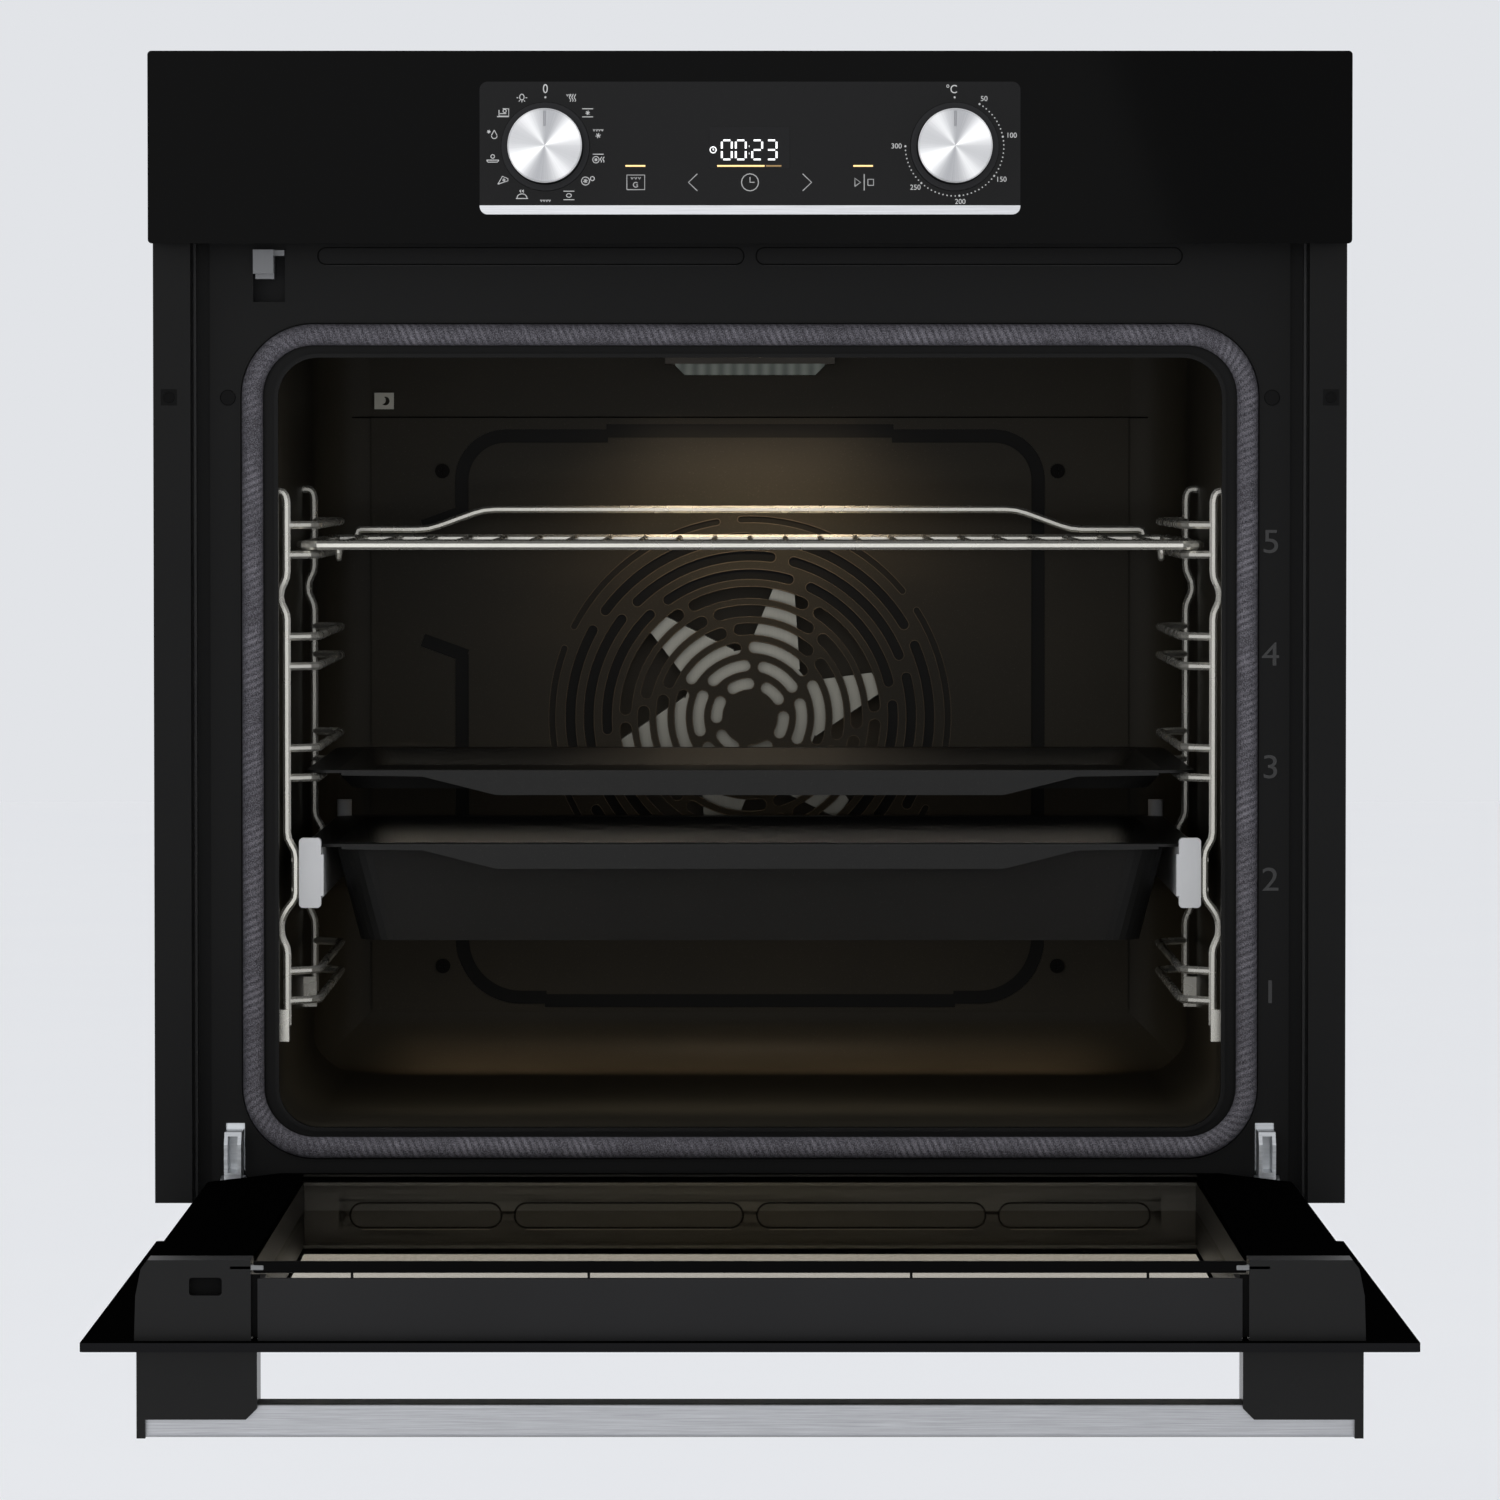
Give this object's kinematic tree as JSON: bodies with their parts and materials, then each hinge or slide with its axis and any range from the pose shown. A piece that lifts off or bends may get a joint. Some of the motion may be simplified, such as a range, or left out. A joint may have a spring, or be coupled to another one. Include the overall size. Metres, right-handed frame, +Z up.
{
  "type": "built-in wall oven",
  "caption": "Built-in electric wall oven with its drop-down glass door open, showing wire shelf, trays on runners, fan cover, knobs and display.",
  "frame": {"origin": "midway between the two niche screws, on the plane of the cabinet front", "axes": "+Z up, +Y back into the niche, the front faces -Y, +X to the right seen from the front"},
  "size_m": [0.595, 1.0044, 0.6368],
  "materials": {
    "front_enamel": "satin dark grey enamel",
    "cavity_enamel": "glossy dark enamel with fine specks",
    "galvanised": "galvanised sheet",
    "wool": "mineral wool",
    "seal": "braided glass-fibre rope, violet grey",
    "screws": "darkened steel",
    "wire": "bright chromed wire",
    "rail_steel": "satin steel",
    "heater": "oxidised steel tube",
    "lamp_metal": "enamelled lamp housing",
    "lamp_glass": "moulded clear glass",
    "bulb": "clear halogen bulb",
    "motor": "motor steel",
    "bright_steel": "bright pressed steel",
    "terminal": "black plastic",
    "panel_glass": "black glass, polished",
    "insert": "dark printed panel",
    "strip": "brushed strip",
    "carrier": "black plastic",
    "board": "circuit board",
    "switch_body": "grey plastic",
    "knob": "brushed face, satin side",
    "lever": "grey plastic",
    "tray": "charcoal enamel",
    "zinc": "zinc-plated steel",
    "door_glass": "float glass with black border",
    "middle_glass": "coated glass, brown tint",
    "inner_glass": "clear glass with black side borders",
    "column": "black coated steel",
    "cap": "black plastic",
    "handle_steel": "brushed stainless steel",
    "bracket": "black plastic"
  },
  "bodies": {
    "root": {"front_frame": "front_enamel", "side_trims": "front_enamel", "casing_wrap": "galvanised", "base_panel": "galvanised", "back_panel": "galvanised", "cavity_shell": "cavity_enamel", "rear_chamber": "cavity_enamel", "insulation": "wool", "door_seal": "seal", "fan_cover": "cavity_enamel", "fan_cover_screws": "screws", "side_rack_left": "wire", "side_rack_right": "wire", "runner_rails": "rail_steel", "ring_heater": "heater", "grill_heater": "heater", "bottom_heater": "heater", "lamp_housing": "lamp_metal", "lamp_lens": "lamp_glass", "lamp_bulb": "bulb", "temperature_sensor": "bright_steel", "fan_motor": "motor", "blower_housing": "galvanised", "blower_motor": "motor", "terminal_block": "terminal", "panel_glass": "panel_glass", "panel_insert": "insert", "trim_strip": "strip", "panel_carrier": "carrier", "control_board": "board", "rotary_switches": "switch_body", "hinge_arms": "zinc", "hinge_receivers": "zinc"},
    "door": {"hinge_pins": "zinc", "hinge_cases": "zinc", "hinge_springs": "zinc", "door_outer_glass": "door_glass", "door_middle_glass": "middle_glass", "door_inner_glass": "inner_glass", "door_columns": "column", "door_top_profile": "column", "door_bottom_profile": "column", "door_caps": "cap", "handle_bar": "handle_steel", "handle_brackets": "bracket"},
    "convection_fan": {"impeller": "bright_steel", "fan_shaft": "bright_steel"},
    "cooling_rotor": {"blower_rotor": "bright_steel"},
    "function_spindle_body": {"function_spindle": "bright_steel"},
    "function_knob_body": {"function_knob": "knob"},
    "temperature_spindle_body": {"temperature_spindle": "bright_steel"},
    "temperature_knob_body": {"temperature_knob": "knob"},
    "switch_lever": {"door_switch_lever": "lever"},
    "shelf": {"wire_shelf": "wire"},
    "upper_tray": {"shallow_tray": "tray"},
    "lower_tray": {"deep_tray": "tray"},
    "middle_left": {"runner_middle_left": "rail_steel"},
    "middle_right": {"runner_middle_right": "rail_steel"},
    "slide_left": {"runner_slide_left": "rail_steel"},
    "slide_right": {"runner_slide_right": "rail_steel"}
  },
  "joints": [
    {"name": "door_hinge", "type": "hinge", "parent": "root", "child": "door", "pos_m": [0, 0.007, -0.3974], "axis": [1, 0, 0], "range_deg": [-90, 0]},
    {"name": "fan_spin", "type": "hinge", "parent": "root", "child": "convection_fan", "pos_m": [0, 0.46, -0.17285], "axis": [0, 1, 0], "continuous": true},
    {"name": "cooling_fan_spin", "type": "hinge", "parent": "root", "child": "cooling_rotor", "pos_m": [0, 0.15, 0.1], "axis": [1, 0, 0], "continuous": true},
    {"name": "function_knob_turn", "type": "hinge", "parent": "root", "child": "function_spindle_body", "pos_m": [-0.101, 0, 0.1235], "axis": [0, 1, 0], "continuous": true},
    {"name": "function_knob_push", "type": "slide", "parent": "function_spindle_body", "child": "function_knob_body", "axis": [0, 1, 0], "range_m": [0, 0.012]},
    {"name": "temperature_knob_turn", "type": "hinge", "parent": "root", "child": "temperature_spindle_body", "pos_m": [0.101, 0, 0.1235], "axis": [0, 1, 0], "range_deg": [0, 270]},
    {"name": "temperature_knob_push", "type": "slide", "parent": "temperature_spindle_body", "child": "temperature_knob_body", "axis": [0, 1, 0], "range_m": [0, 0.012]},
    {"name": "door_switch_press", "type": "slide", "parent": "root", "child": "switch_lever", "axis": [0, 1, 0], "range_m": [0, 0.004], "stiffness_N_per_m": 400, "springref_m": -0.001},
    {"name": "wire_shelf_slide", "type": "slide", "parent": "root", "child": "shelf", "axis": [0, -1, 0], "range_m": [0, 0.3]},
    {"name": "upper_tray_slide", "type": "slide", "parent": "root", "child": "upper_tray", "axis": [0, -1, 0], "range_m": [0, 0.3]},
    {"name": "runner_left_slide", "type": "slide", "parent": "root", "child": "slide_left", "axis": [0, -1, 0], "range_m": [0, 0.3]},
    {"name": "runner_right_slide", "type": "slide", "parent": "root", "child": "slide_right", "axis": [0, -1, 0], "range_m": [0, 0.3]},
    {"name": "runner_left_middle", "type": "slide", "parent": "root", "child": "middle_left", "axis": [0, -1, 0], "range_m": [0, 0.15]},
    {"name": "runner_right_middle", "type": "slide", "parent": "root", "child": "middle_right", "axis": [0, -1, 0], "range_m": [0, 0.15]},
    {"name": "lower_tray_lift", "type": "slide", "parent": "slide_left", "child": "lower_tray", "axis": [0, 0, 1], "range_m": [0, 0.012]}
  ],
  "couplings": [
    {"joint": "runner_right_slide", "follows": "runner_left_slide", "ratio": 1},
    {"joint": "runner_left_middle", "follows": "runner_left_slide", "ratio": 0.5},
    {"joint": "runner_right_middle", "follows": "runner_left_slide", "ratio": 0.5}
  ]
}
